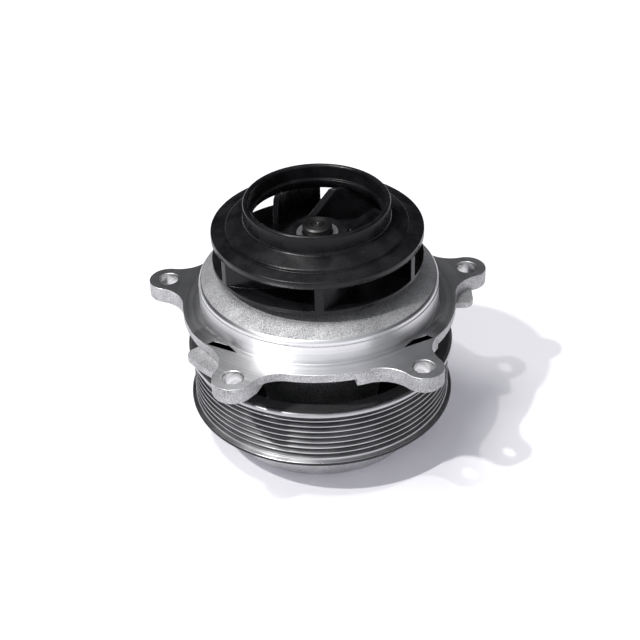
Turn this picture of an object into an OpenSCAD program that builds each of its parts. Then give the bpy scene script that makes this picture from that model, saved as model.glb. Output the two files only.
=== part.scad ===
// Belt-driven engine coolant pump: a flanged aluminium housing with a spigot,
// an integral ball-and-roller shaft bearing, a spring-loaded face seal,
// a shrouded plastic impeller and a poly-V belt pulley bolted to a hub.
// Origin: pump axis at the flange's front mating land. +Z runs towards the impeller.

/* [Flange] */
// Radius of the flange disc between its lugs
flange_r = 75; // [70:0.5:90]
// Thickness of the flange web between its lugs
flange_t = 4.8; // [4:0.1:8]
// Radius of the circle that the bolt holes lie on
bolt_circle_r = 87.2; // [80:0.1:105]
// Radius of each lug's round end
lug_r = 10.8; // [9:0.1:14]
// Radius of the blend between a lug and the flange disc
lug_blend_r = 18; // [12:0.5:26]
// Thickness of the flange at its lugs
lug_t = 9; // [7:0.1:12]
// Diameter of each bolt hole
bolt_hole_d = 10.5; // [8.5:0.1:12.5]
// Chamfer at the mouth of each bolt hole
bolt_chamfer = 0.5; // [0.3:0.1:0.8]
// Drop from the front mating land to the land behind the ramps
land_step = 1.6; // [0.8:0.1:2.4]
// Length of each ramp between the two lands
ramp_length = 17.5; // [12:0.5:22]
// Outer radius of the cast ledge beside the front left lug
ledge_r = 84; // [80:0.5:96]
// Thickness of the cast ledge and of the boss beside the right lug
ledge_t = 3.6; // [3:0.1:5]
// How far the boss beside the right lug reaches from the pump axis
boss_reach = 85.2; // [82:0.2:92]
// Radius of the boss's corner
boss_round = 5; // [3:0.5:6]

/* [Spigot and back plate] */
// Diameter of the turned spigot that enters the engine's bore
spigot_d = 131; // [120:0.5:136]
// Height of the spigot above the mating face
spigot_h = 14.3; // [10:0.1:18]
// Lead-in chamfer on the spigot
spigot_chamfer = 1.4; // [0.8:0.1:2]
// Wall thickness of the casting
casting_wall = 5; // [4:0.1:6]
// Height of the back plate at the seal chamber
back_plate_h = 22.2; // [20:0.1:23]
// Thickness of the ribs behind the back plate
rib_t = 5; // [4:0.5:7]

/* [Shaft bearing] */
// Outside diameter of the bearing sleeve
bearing_d = 52; // [48:0.5:56]
// Length of the bearing sleeve
bearing_l = 52; // [46:0.5:54]
// Diameter of the shaft between the raceways
journal_d = 27; // [25:0.1:29]
// Diameter of the bearing balls
ball_d = 9; // [8:0.1:9.6]
// Number of balls
ball_count = 9; // [8:1:10]
// Length of the bearing rollers
roller_l = 12; // [10:0.5:14]
// Number of rollers
roller_count = 12; // [10:1:13]
// Working clearance of each ball and roller to its raceway
race_clearance = 0.05; // [0.03:0.01:0.08]
// Wall of the bearing housing around the sleeve
nose_wall = 7; // [5.5:0.5:9]

/* [Shaft] */
// Diameter of the shaft at the seal and the impeller
shaft_d = 15.9; // [14:0.1:17]
// Height of the shaft end above the mating face
shaft_top = 45.1; // [43.5:0.1:48]
// Diameter of the shaft in the pulley hub
hub_shaft_d = 22; // [20:0.5:25]

/* [Face seal] */
// Bore that the seal cup is pressed into
seal_bore_d = 36.5; // [35:0.1:38]
// Sheet thickness of the seal cup
seal_sheet = 0.8; // [0.6:0.1:1]
// Film gap between the two seal faces
seal_film = 0.02; // [0.01:0.01:0.05]
// Wire diameter of the seal spring
spring_wire = 1.4; // [1:0.1:1.6]
// Working turns of the seal spring
spring_turns = 3.5; // [2.5:0.5:4]

/* [Impeller] */
// Outside diameter of the impeller
impeller_d = 114.2; // [104:0.2:120]
// Underside of the impeller's back disc above the mating face
disc_z = 25.1; // [24:0.1:28]
// Thickness of the back disc at its edge
disc_t = 2.2; // [1.8:0.1:3.5]
// Width of the outlet between the back disc and the shroud
outlet_w = 13.3; // [10:0.1:16]
// Thickness of the shroud at its edge
shroud_t = 3; // [2.5:0.1:4]
// Outside diameter of the eye ring
eye_d = 78.6; // [72:0.2:84]
// Wall of the eye ring
eye_wall = 3; // [2.5:0.1:4]
// Top of the eye ring above the mating face
eye_top = 60.5; // [57:0.1:66]
// Number of vanes
vane_count = 6; // [5:1:8]
// Thickness of each vane
vane_t = 2.5; // [2:0.1:3.2]
// Radius of the arc that each vane follows
vane_arc_r = 50.5; // [48:0.5:56]
// Angle between a vane's tip and the radial direction
vane_lean = 56.5; // [54:0.5:60]
// How far each vane's nose stands inside the throat
vane_nose = 2.7; // [1:0.1:4]
// Diameter of the metal insert that grips the shaft
insert_d = 22.5; // [20:0.1:25]

/* [Pulley] */
// Outside diameter of the pulley's rim and lip
pulley_d = 147.2; // [140:0.2:160]
// Top of the pulley below the mating face
pulley_top = 26.4; // [24:0.1:30]
// Inside diameter of the pulley at its top
pulley_bore_d = 129; // [124:0.5:134]
// Number of belt grooves
groove_count = 8; // [6:1:8]
// Pitch of the belt grooves
groove_pitch = 3.56; // [3.56:0.01:3.56]
// Depth of each groove below its crests
groove_depth = 2.8; // [2.4:0.1:3]
// How far the rim stands above the groove crests
rim_stand = 2.3; // [1.5:0.1:3]
// Bottom of the pulley below the mating face
pulley_bottom = 86; // [84:0.5:96]
// Radius of the pulley's flat foot ring
foot_r = 48; // [44:0.5:50]
// Sheet thickness of the pulley's cup
cup_t = 3; // [2.5:0.1:4]
// Radius of the circle of pulley bolts
hub_bolt_circle_r = 21.5; // [21:0.1:22.5]
// Number of pulley bolts
hub_bolt_count = 4; // [3:1:6]
// Thread diameter of the pulley bolts
hub_bolt_d = 8; // [6:1:8]

/* [Hidden] */
$fn = 96;

// A small overlap for cutting tools
eps = 0.5;
// A size larger than the whole part
big = 400;

// Directions of the two lugs on the front land and of the three behind the ramps
front_lugs = [-121.5, -53];
rear_lugs = [17, 91, 165];
lug_angles = concat(front_lugs, rear_lugs);
// Directions between which each lug's thick pad lies
front_pads = [[-142, -113.5], [-76, -34]];
rear_pads = [[-2, 36], [72, 110], [146, 184]];
// Directions between which the cast ledge lies, and the depth of its top face
ledge_sides = [-150, -127];
ledge_round = 6;
ledge_top = 6.2;
// Depth of the boss's top face, and its length along +Y
boss_top = 8.6;
boss_l = 20;
// Where the front land ends and each ramp starts
ramp_starts = [-143.2, -36.8];

spigot_r = spigot_d / 2;
spigot_inner_r = spigot_r - casting_wall;
ramp_blend = ramp_length * 0.22;
spigot_step = 0.25;
spigot_step_h = 3.3;
skirt_draw = 0.8;
root_step_r = spigot_r + 0.7;
skirt_bottom = -flange_t - land_step - 1;
edge_break = 0.8;
nose_round = 1.5;
ring_groove_depth = 1.6;
seal_shoulder = 5;
flange_root_r = spigot_inner_r + 2;
bearing_r = bearing_d / 2;
bearing_top = -6;
bearing_bottom = bearing_top - bearing_l;
nose_r = bearing_r + nose_wall;
ring_groove_w = 1.8;
ring_t = 1.5;
ring_gap = (ring_groove_w - ring_t) / 2;
nose_bottom = bearing_bottom - ring_groove_w - 2.2;

journal_r = journal_d / 2;
ball_r = ball_d / 2;
race_gap = 7.2;
sleeve_inner_r = journal_r + race_gap;
pitch_r = journal_r + race_gap / 2;
roller_r = race_gap / 2 - race_clearance;
ball_z = bearing_top - 12;
roller_z = bearing_bottom + 15;
cage_inner_r = pitch_r - 1.3;
cage_outer_r = pitch_r + 1.3;
pocket_clearance = 0.15;
bearing_seal_t = 3;
lip_clearance = 0.05;

shaft_r = shaft_d / 2;
journal_top = -4;
journal_bottom = bearing_bottom - 1;
shaft_bottom = -77;
hub_shaft_r = hub_shaft_d / 2;
top_centre_r = 1.1;
low_centre_r = 3;
neck_depth = 0.7;
neck_w = 1.9;

seal_bore_r = seal_bore_d / 2;
seal_seat_z = 17;
seal_floor_z = 5;
seal_chamber_r = seal_bore_r + 5.75;
weep_r = 3;
weep_z = -1.5;
weep_chamber_r = bearing_r - 6;
face_z = 19;
seat_t = 4;
seat_inner_r = shaft_r + 1.65;
seat_outer_r = shaft_r + 6.6;
boot_back = 1;
bellows_r = shaft_r + 0.9;
bellows_t = 1.1;
fold_z = 4.6;
cup_rim = 2.2;
carbon_inner_r = bellows_r + bellows_t;
carbon_outer_r = carbon_inner_r + 3.4;
band_t = 0.7;
band_z = 14.4;
spring_mean_r = carbon_outer_r + band_t + spring_wire / 2 + 0.3;

impeller_r = impeller_d / 2;
impeller_base = face_z + seat_t + boot_back;
insert_r = insert_d / 2;
insert_top = 40.2;
neck_z = insert_top + 0.5;
eye_r = eye_d / 2;
eye_inner_r = eye_r - eye_wall;
eye_throat_r = eye_inner_r - 1.8;
eye_ledge_z = eye_top - 8.2;
passage_steps = 18;
nose_step = 16;
root_step = 11;
vane_foot = [insert_r + 10.4, disc_z + 5.5];
vane_start = -30.3;
vane_sweep = 74;
vane_sunk = 0.8;

pulley_r = pulley_d / 2;
pulley_bore_r = pulley_bore_d / 2;
crest_r = pulley_r - rim_stand;
groove_r = crest_r - groove_depth;
flank_tan = tan(20);
groove_floor_w = 0.9;
first_groove = pulley_top + 4.77;
lip_top = first_groove + (groove_count - 0.5) * groove_pitch + 1.7;
lip_t = 1.6;
lip_bottom = lip_top + lip_t;
web_r = 30;
web_z = -pulley_bottom + 10;
web_top = web_z + cup_t;
foot_round = 8;
hub_bore_r = hub_shaft_r;
hub_flange_t = 7;
hub_boss_r = 16;
hub_top = journal_bottom - 0.8;
pilot_r = hub_shaft_r + 2.4;
pilot_bottom = web_z - 1.4;
washer_t = 1.4;
hub_bolt_r = hub_bolt_d / 2;
hub_r = hub_bolt_circle_r + hub_bolt_r + 3;
hub_bolt_head_r = hub_bolt_d * 0.81;
hub_bolt_head_h = 4.6;

// A point at a radius and a direction
function polar(r, a) = [r * cos(a), r * sin(a)];

// Points along an arc about a centre
function arc(centre, r, from, to, steps) =
    [for (i = [0:steps]) centre + polar(r, from + (to - from) * i / steps)];

// A point on a cubic curve through its first and last control points
function curve_point(p, t) =
    p[0] * pow(1 - t, 3) + p[1] * 3 * pow(1 - t, 2) * t + p[2] * 3 * (1 - t) * t * t + p[3] * pow(t, 3);

// Points along a cubic curve, as many of its steps as asked for
function curve(p, steps, last) = [for (i = [0:last]) curve_point(p, i / steps)];

// A list in the opposite order
function reversed(list) = [for (i = [len(list) - 1:-1:0]) list[i]];

// Control points of the passage between the vanes, from the outlet inwards
hub_curve = [[impeller_r, disc_z + disc_t], [impeller_r - 25, disc_z + disc_t],
    [insert_r + 7.8, disc_z + 4.9], [insert_r + 4.6, insert_top]];
shroud_curve = [[impeller_r, disc_z + disc_t + outlet_w],
    [impeller_r - 13, disc_z + disc_t + outlet_w + 1], [eye_throat_r + 1.5, eye_ledge_z - 7.8],
    [eye_throat_r, eye_ledge_z - 1.8]];

module sector(from, to, r) {
    middle = (from + to) / 2;
    reach = r / cos((to - from) / 2);
    polygon([[0, 0], polar(reach, from), polar(reach * 1.2, middle), polar(reach, to)]);
}

module tube(outer, inner, bottom, height) {
    translate([0, 0, bottom]) difference() {
        cylinder(r = outer, h = height);
        translate([0, 0, -eps]) cylinder(r = inner, h = height + 2 * eps);
    }
}

module around(count, start = 0) {
    for (i = [0:count - 1]) rotate([0, 0, start + i * 360 / count]) children();
}

// ---- Housing ----

// A lug with the blends that run into the flange disc, pointing along +X
module lug_outline() {
    disc_side = flange_r + lug_blend_r;
    lug_side = lug_r + lug_blend_r;
    swing = acos((disc_side * disc_side + bolt_circle_r * bolt_circle_r - lug_side * lug_side)
        / (2 * disc_side * bolt_circle_r));
    blend = polar(disc_side, swing);
    lug = [bolt_circle_r, 0];
    tangent = lug + (blend - lug) * lug_r / lug_side;
    translate(lug) circle(r = lug_r);
    difference() {
        polygon([[0, 0], polar(flange_r, -swing), [tangent[0], -tangent[1]], lug, tangent,
            polar(flange_r, swing)]);
        for (side = [-1, 1]) translate([blend[0], side * blend[1]]) circle(r = lug_blend_r);
    }
}

module flange_outline() {
    circle(r = flange_r);
    for (a = lug_angles) rotate(a) lug_outline();
}

// The turned outside: the spigot with its step and chamfer, and the cone up to the seal chamber
function outside_points() = let (tip_r = spigot_r - spigot_step, rim_r = spigot_r - spigot_chamfer) [
    [spigot_r - skirt_draw, skirt_bottom], [spigot_r - skirt_draw, -flange_t / 2],
    [spigot_r, -flange_t / 2], [spigot_r, spigot_h - spigot_step_h], [tip_r, spigot_h - spigot_step_h - 0.1],
    [tip_r, spigot_h - spigot_chamfer], [rim_r, spigot_h], [rim_r - 0.6, spigot_h + 0.1],
    [spigot_r - 16, back_plate_h - 1.4], [spigot_r - 22, back_plate_h - 0.2],
    [seal_chamber_r + edge_break, back_plate_h], [seal_chamber_r, back_plate_h - edge_break]];

// The bores from the seal chamber down to the snap ring and the nose's end
function bore_points() = let (wall_r = seal_bore_r - seal_shoulder, groove_r = bearing_r + ring_groove_depth) [
    [seal_chamber_r, seal_seat_z], [seal_bore_r, seal_seat_z], [seal_bore_r, seal_floor_z],
    [wall_r, seal_floor_z], [wall_r, seal_floor_z - 2], [weep_chamber_r, seal_floor_z - 4],
    [weep_chamber_r, bearing_top], [bearing_r, bearing_top], [bearing_r, bearing_bottom],
    [groove_r, bearing_bottom], [groove_r, bearing_bottom - ring_groove_w],
    [bearing_r, bearing_bottom - ring_groove_w], [bearing_r, nose_bottom + edge_break],
    [bearing_r + edge_break, nose_bottom]];

// The cast underside from the nose up under the back plate and down inside the skirt
function underside_points() = let (roof = back_plate_h - casting_wall, shoulder = spigot_h - casting_wall) [
    [nose_r - nose_round, nose_bottom], [nose_r, nose_bottom + nose_round],
    [nose_r + 0.8, -20], [nose_r + 3.5, -6], [nose_r + 7, roof - 5], [nose_r + 10, roof - 1.6],
    [spigot_inner_r - 10, roof - 3.2], [spigot_inner_r - 2, shoulder - 1],
    [spigot_inner_r, shoulder - 4], [spigot_inner_r, skirt_bottom]];

// Section of the cast and turned body between the axis and the spigot
module body_section() {
    polygon(concat(outside_points(), bore_points(), underside_points()));
}

// The ramp's cross-section: a straight slope that a short parabola joins to the land at each end
module ramp_section() {
    steps = 6;
    run = ramp_length - ramp_blend;
    function fall(t) = land_step * t * t * ramp_blend / (2 * run);
    polygon(concat(
        [for (i = [0:steps]) [ramp_blend * i / steps, -fall(i / steps)]],
        [for (i = [steps:-1:0]) [ramp_length - ramp_blend * i / steps, fall(i / steps) - land_step]],
        [[ramp_length, eps], [0, eps]]));
}

// What is milled off the flange's top outside the spigot, along one ramp
module ramp_cut(start, side) {
    rotate([0, 0, start]) rotate([90, 0, 90]) linear_extrude(height = big / 2)
        scale([side, 1]) ramp_section();
}

// What is milled off the flange's top behind the ramps
module rear_land_cut() {
    translate([0, 0, -land_step]) linear_extrude(height = land_step + eps) difference() {
        circle(r = big / 2);
        sector(ramp_starts[0], ramp_starts[1], big);
        rotate(ramp_starts[1]) translate([0, -ramp_length]) square([big, 2 * ramp_length]);
        rotate(ramp_starts[0]) translate([0, -ramp_length]) square([big, 2 * ramp_length]);
    }
}

// All that is milled off behind the front land, as far in as a narrow step around the spigot's root
module land_cuts() {
    difference() {
        union() {
            rear_land_cut();
            ramp_cut(ramp_starts[0], -1);
            ramp_cut(ramp_starts[1], 1);
        }
        translate([0, 0, -flange_t]) cylinder(r = root_step_r, h = 2 * flange_t);
    }
}

// A rib's side view, sunk into the walls that it joins
module rib_section() {
    foot_r = spigot_inner_r + 0.6 * casting_wall;
    roof = back_plate_h - casting_wall;
    polygon([[nose_r - 1, -flange_t], [foot_r, -flange_t], [foot_r, spigot_h - casting_wall],
        [spigot_inner_r - 10, roof - 0.8], [nose_r + 8, roof + 1.2], [nose_r - 1, roof + 1.2]]);
}

module ribs() {
    for (a = lug_angles) rotate([0, 0, a + 36]) translate([0, rib_t / 2, 0]) rotate([90, 0, 0])
        linear_extrude(height = rib_t) rib_section();
}

// A piece of the flange outside the spigot, from one direction to another
module flange_piece(from, to, top, bottom) {
    translate([0, 0, bottom]) linear_extrude(height = top - bottom) intersection() {
        difference() {
            children();
            circle(r = flange_root_r);
        }
        sector(from, to, big / 2);
    }
}

module flange() {
    rear_from = ramp_starts[1];
    rear_to = ramp_starts[0] + 360;
    middle = (rear_from + rear_to) / 2;
    flange_piece(ramp_starts[0], ramp_starts[1], 0, -flange_t) flange_outline();
    flange_piece(rear_from, middle, 0, -flange_t - land_step) flange_outline();
    flange_piece(middle, rear_to, 0, -flange_t - land_step) flange_outline();
    for (pad = front_pads) flange_piece(pad[0], pad[1], 0, -lug_t) flange_outline();
    for (pad = rear_pads) flange_piece(pad[0], pad[1], 0, -lug_t - land_step) flange_outline();
    flange_piece(ledge_sides[0], ledge_sides[1], -ledge_top, -ledge_top - ledge_t) ledge_outline();
    flange_piece(ledge_sides[0], ledge_sides[1], -flange_t / 2, -ledge_top - ledge_t)
        circle(r = flange_r - 1.5);
    translate([0, 0, -boss_top - ledge_t]) linear_extrude(height = ledge_t) boss_outline();
}

// Plan of the ledge beside the front left lug: its outer corner is round
module ledge_outline() {
    corner_r = ledge_r - ledge_round;
    corner_a = ledge_sides[0] + asin(ledge_round / corner_r);
    circle(r = corner_r);
    rotate(corner_a) translate([corner_r, 0]) circle(r = ledge_round);
    intersection() {
        circle(r = ledge_r);
        sector(corner_a, ledge_sides[1] + 5, big / 2);
    }
}

// Plan of the boss beside the right lug: it grows out of the lug's pad and has one round corner
module boss_outline() {
    root = flange_r - 7;
    corner = boss_reach - boss_round;
    translate([corner, boss_round]) circle(r = boss_round);
    translate([root, boss_round]) square([boss_reach - root, boss_l - boss_round]);
    translate([root, 0]) square([corner - root, boss_round + eps]);
}

module bolt_hole(land) {
    translate([bolt_circle_r, 0, 0]) {
        translate([0, 0, land - lug_t - eps]) cylinder(d = bolt_hole_d, h = lug_t + 2 * eps);
        translate([0, 0, land - bolt_chamfer])
            cylinder(r1 = bolt_hole_d / 2, r2 = bolt_hole_d / 2 + 3 * bolt_chamfer, h = 3 * bolt_chamfer);
    }
}

module housing() {
    color("gainsboro") difference() {
        union() {
            rotate_extrude() body_section();
            difference() {
                flange();
                land_cuts();
            }
            ribs();
        }
        for (a = front_lugs) rotate([0, 0, a]) bolt_hole(0);
        for (a = rear_lugs) rotate([0, 0, a]) bolt_hole(-land_step);
        rotate([0, 0, -87]) translate([weep_chamber_r - 2, 0, weep_z]) rotate([0, 90, 0])
            cylinder(r = weep_r, h = nose_r - weep_chamber_r + 12);
    }
}

// ---- Shaft bearing ----

module bearing_sleeve() {
    color("silver") difference() {
        tube(bearing_r, sleeve_inner_r, bearing_bottom, bearing_l);
        translate([0, 0, ball_z]) rotate_extrude() translate([pitch_r, 0])
            circle(r = ball_r + race_clearance);
    }
}

module ball_set() {
    color("lightsteelblue") around(ball_count) translate([pitch_r, 0, ball_z]) sphere(r = ball_r);
}

module ball_cage() {
    color("peru") difference() {
        tube(cage_outer_r, cage_inner_r, ball_z - ball_r - 1.6, ball_d + 3.2);
        around(ball_count) translate([cage_inner_r - 1, 0, ball_z]) rotate([0, 90, 0])
            cylinder(r = ball_r + pocket_clearance, h = cage_outer_r - cage_inner_r + 3);
    }
}

module roller_set() {
    color("lightsteelblue") around(roller_count) translate([pitch_r, 0, roller_z - roller_l / 2])
        cylinder(r = roller_r, h = roller_l);
}

module roller_cage() {
    pocket_w = 2 * (roller_r + pocket_clearance);
    pocket_l = roller_l + 2 * pocket_clearance;
    color("peru") difference() {
        tube(cage_outer_r, cage_inner_r, roller_z - roller_l / 2 - 2, roller_l + 4);
        around(roller_count) translate([cage_inner_r - 3, -pocket_w / 2, roller_z - pocket_l / 2])
            cube([6 + cage_outer_r - cage_inner_r, pocket_w, pocket_l]);
    }
}

// A moulded lip seal that fills the sleeve's end and rides close to the shaft
module bearing_seal(z, side) {
    color("dimgray") translate([0, 0, z]) scale([1, 1, side]) rotate_extrude() polygon([
        [sleeve_inner_r, 0], [sleeve_inner_r, bearing_seal_t], [journal_r + 2.2, bearing_seal_t],
        [journal_r + lip_clearance, bearing_seal_t + 0.9], [journal_r + lip_clearance, bearing_seal_t - 0.1],
        [journal_r + 1.4, bearing_seal_t - 1.4], [journal_r + 1.4, 1.2],
        [journal_r + lip_clearance, 0.8], [journal_r + lip_clearance, 0]
    ]);
}

module inner_bearing_seal() {
    bearing_seal(bearing_top, -1);
}

module outer_bearing_seal() {
    bearing_seal(bearing_bottom, 1);
}

module bearing_snap_ring() {
    color("dimgray") translate([0, 0, bearing_bottom - ring_groove_w + ring_gap])
        linear_extrude(height = ring_t) difference() {
            union() {
                difference() {
                    circle(r = bearing_r + 1.5);
                    circle(r = bearing_r - 2);
                }
                for (side = [-1, 1]) rotate(90 + side * 9) translate([bearing_r - 2.2, 0]) circle(r = 2.4);
            }
            sector(90 - 5, 90 + 5, bearing_r + 10);
            for (side = [-1, 1]) rotate(90 + side * 9) translate([bearing_r - 2.4, 0]) circle(r = 1);
        }
}

// ---- Face seal ----

module seal_cup() {
    color("silver") rotate_extrude() polygon([
        [seal_bore_r, seal_floor_z], [seal_bore_r, seal_seat_z], [seal_bore_r + cup_rim, seal_seat_z],
        [seal_bore_r + cup_rim, seal_seat_z + seal_sheet], [seal_bore_r - seal_sheet, seal_seat_z + seal_sheet],
        [seal_bore_r - seal_sheet, seal_floor_z + seal_sheet], [bellows_r, seal_floor_z + seal_sheet],
        [bellows_r, seal_floor_z]
    ]);
}

// A rubber sleeve with a wide foot and one fold, whose crest stands at fold_z above the foot
module seal_bellows() {
    foot = seal_floor_z + seal_sheet;
    foot_r = spring_mean_r - spring_wire;
    head = band_z + band_t;
    fold = foot + fold_z;
    color("#2b2b2b") rotate_extrude() polygon([
        [bellows_r, foot], [foot_r, foot], [foot_r, foot + 1], [carbon_inner_r, foot + 1.6],
        [carbon_inner_r, fold - 1.6], [carbon_outer_r - 0.6, fold], [carbon_inner_r, fold + 1.6],
        [carbon_inner_r, head], [bellows_r, head], [bellows_r, fold + 2 * bellows_t],
        [bellows_r + 2 * bellows_t, fold], [bellows_r, fold - 2 * bellows_t]
    ]);
}

module carbon_ring() {
    color("#3a3a3c") rotate_extrude() polygon([
        [carbon_inner_r, band_z + band_t], [carbon_outer_r, band_z + band_t],
        [carbon_outer_r, face_z - 1.2], [carbon_outer_r - 0.8, face_z - 1.2],
        [carbon_outer_r - 0.8, face_z - seal_film], [carbon_inner_r + 0.8, face_z - seal_film],
        [carbon_inner_r, face_z - 1.2]
    ]);
}

module seal_drive_band() {
    color("silver") rotate_extrude() polygon([
        [carbon_inner_r, band_z], [spring_mean_r + spring_wire / 2, band_z],
        [spring_mean_r + spring_wire / 2, band_z + band_t], [carbon_outer_r + band_t, band_z + band_t],
        [carbon_outer_r + band_t, face_z - 1.4], [carbon_outer_r, face_z - 1.4],
        [carbon_outer_r, band_z + band_t], [carbon_inner_r, band_z + band_t]
    ]);
}

// One round wire wound along a helix, with closed ends
module helix(mean_r, wire_r, bottom, top, turns) {
    sides = 10;
    rings = ceil(turns * 28);
    function place(i, j) = let (a = 360 * turns * i / rings, b = 360 * j / sides, r = mean_r + wire_r * cos(b))
        [r * cos(a), r * sin(a), bottom + (top - bottom) * i / rings + wire_r * sin(b)];
    points = [for (i = [0:rings]) for (j = [0:sides - 1]) place(i, j)];
    walls = [for (i = [0:rings - 1]) for (j = [0:sides - 1])
        let (k = (j + 1) % sides)
        [i * sides + j, (i + 1) * sides + j, (i + 1) * sides + k, i * sides + k]];
    ends = [[for (j = [0:sides - 1]) j], [for (j = [sides - 1:-1:0]) rings * sides + j]];
    polyhedron(points, concat(walls, ends));
}

module seal_spring() {
    wire_r = spring_wire / 2;
    color("silver") helix(spring_mean_r, wire_r, seal_floor_z + seal_sheet + wire_r + 0.02,
        band_z - wire_r - 0.02, spring_turns);
}

module seal_seat_ring() {
    color("#4d4f52") tube(seat_outer_r, seat_inner_r, face_z, seat_t);
}

module seal_seat_boot() {
    back = face_z + seat_t;
    color("#242424") rotate_extrude() polygon([
        [shaft_r, face_z + 0.6], [seat_inner_r, face_z + 0.6], [seat_inner_r, back],
        [seat_outer_r, back], [seat_outer_r, back + boot_back], [shaft_r, back + boot_back]
    ]);
}

module slinger() {
    color("silver") rotate_extrude() polygon([
        [shaft_r, -3.2], [shaft_r + 2.4, -3.2], [shaft_r + 7.5, -0.8], [shaft_r + 7.5, 0.2],
        [shaft_r + 2.2, -1.2], [shaft_r + 2.2, 1.2], [shaft_r, 1.2]
    ]);
}

// ---- Rotating group ----

module shaft() {
    color("silver") difference() {
        rotate_extrude() polygon([
            [0, shaft_top], [shaft_r - edge_break, shaft_top], [shaft_r, shaft_top - edge_break],
            [shaft_r, neck_z + neck_w], [shaft_r - neck_depth, neck_z + neck_w * 0.75],
            [shaft_r - neck_depth, neck_z + neck_w * 0.25], [shaft_r, neck_z], [shaft_r, journal_top],
            [journal_r - edge_break, journal_top], [journal_r, journal_top - edge_break],
            [journal_r, journal_bottom], [hub_shaft_r, journal_bottom - edge_break],
            [hub_shaft_r, shaft_bottom + edge_break], [hub_shaft_r - edge_break, shaft_bottom],
            [0, shaft_bottom]
        ]);
        translate([0, 0, ball_z]) rotate_extrude() translate([pitch_r, 0])
            circle(r = ball_r + race_clearance);
        translate([0, 0, shaft_top - top_centre_r]) cylinder(r1 = 0, r2 = top_centre_r, h = top_centre_r);
        translate([0, 0, shaft_bottom]) cylinder(r1 = low_centre_r, r2 = 0, h = low_centre_r);
    }
}

module impeller_insert() {
    color("lightgray") difference() {
        tube(insert_r, shaft_r, impeller_base, insert_top - impeller_base);
        translate([0, 0, insert_top - 0.5]) cylinder(r1 = shaft_r, r2 = shaft_r + 0.5, h = 0.5);
    }
}

// Plan of one vane, tip on +X: an arc of constant thickness that swings ahead as it runs inwards
module vane_outline() {
    spread = 6;
    translate([impeller_r, 0] + polar(vane_arc_r, 270 - vane_lean)) intersection() {
        difference() {
            circle(r = vane_arc_r + vane_t / 2);
            circle(r = vane_arc_r - vane_t / 2);
        }
        sector(90 - vane_lean - spread, 90 - vane_lean + vane_sweep, vane_arc_r + vane_t);
    }
}

// Section that each vane is trimmed to: the passage, a step to the nose and a slope down to the hub
module vane_section() {
    nose = [eye_throat_r - vane_nose, curve_point(shroud_curve, nose_step / passage_steps)[1]];
    root = [for (p = reversed(curve(hub_curve, passage_steps, root_step))) p - [0, vane_sunk]];
    polygon(concat(curve(shroud_curve, passage_steps, nose_step), [nose, vane_foot], root));
}

module vanes() {
    intersection() {
        rotate_extrude() vane_section();
        translate([0, 0, disc_z]) linear_extrude(height = eye_top - disc_z)
            around(vane_count, vane_start) vane_outline();
    }
}

module impeller_body() {
    hub_hollow_r = insert_r + 6;
    color("#222326") union() {
        rotate_extrude() polygon(concat(
            curve(hub_curve, passage_steps, passage_steps),
            [[insert_r, insert_top], [insert_r, impeller_base], [hub_hollow_r, impeller_base],
                [hub_hollow_r, impeller_base + 6], [insert_r + 10, disc_z + 4.4],
                [insert_r + 20, disc_z + 0.8], [impeller_r - 14, disc_z], [impeller_r, disc_z]]));
        vanes();
    }
}

module impeller_shroud() {
    edge = disc_z + disc_t + outlet_w + shroud_t;
    round_r = eye_wall / 2;
    groove = [impeller_r - 7.4, edge + 1.9];
    bead_r = 1.6;
    bead = [eye_r + bead_r, eye_ledge_z - 1];
    color("#222326") rotate_extrude() polygon(concat(
        curve(shroud_curve, passage_steps, passage_steps),
        [[eye_throat_r, eye_ledge_z - 0.4], [eye_throat_r + 0.4, eye_ledge_z], [eye_inner_r, eye_ledge_z]],
        arc([eye_inner_r + round_r, eye_top - round_r], round_r, 180, 0, 12),
        arc(bead, bead_r, 180, 256, 6),
        [groove + [-0.7, 1.2], groove + [-0.35, 0.25], groove, groove + [0.4, 0.05], groove + [0.9, 0.3],
            [impeller_r - 0.8, edge + 0.7], [impeller_r, edge]]));
}

module pulley_hub() {
    color("#6e6f72") difference() {
        rotate_extrude() polygon([
            [hub_bore_r, hub_top], [hub_boss_r, hub_top], [hub_boss_r, web_top + hub_flange_t],
            [hub_r, web_top + hub_flange_t - 1], [hub_r, web_top], [pilot_r, web_top],
            [pilot_r, pilot_bottom], [hub_bore_r, pilot_bottom]
        ]);
        around(hub_bolt_count, 45) translate([hub_bolt_circle_r, 0, web_top - eps])
            cylinder(r = hub_bolt_r, h = hub_flange_t + 2 * eps);
    }
}

// Belt grooves from the rim down to the last crest, as points on the rim's section
function groove_points() = [for (k = [0:groove_count - 1])
    let (middle = -first_groove - k * groove_pitch, half = groove_floor_w / 2,
        top_r = k == 0 ? pulley_r : crest_r)
    each [[top_r, middle + half + (top_r - groove_r) * flank_tan], [groove_r, middle + half],
        [groove_r, middle - half], [crest_r, middle - half - groove_depth * flank_tan]]];

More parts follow.
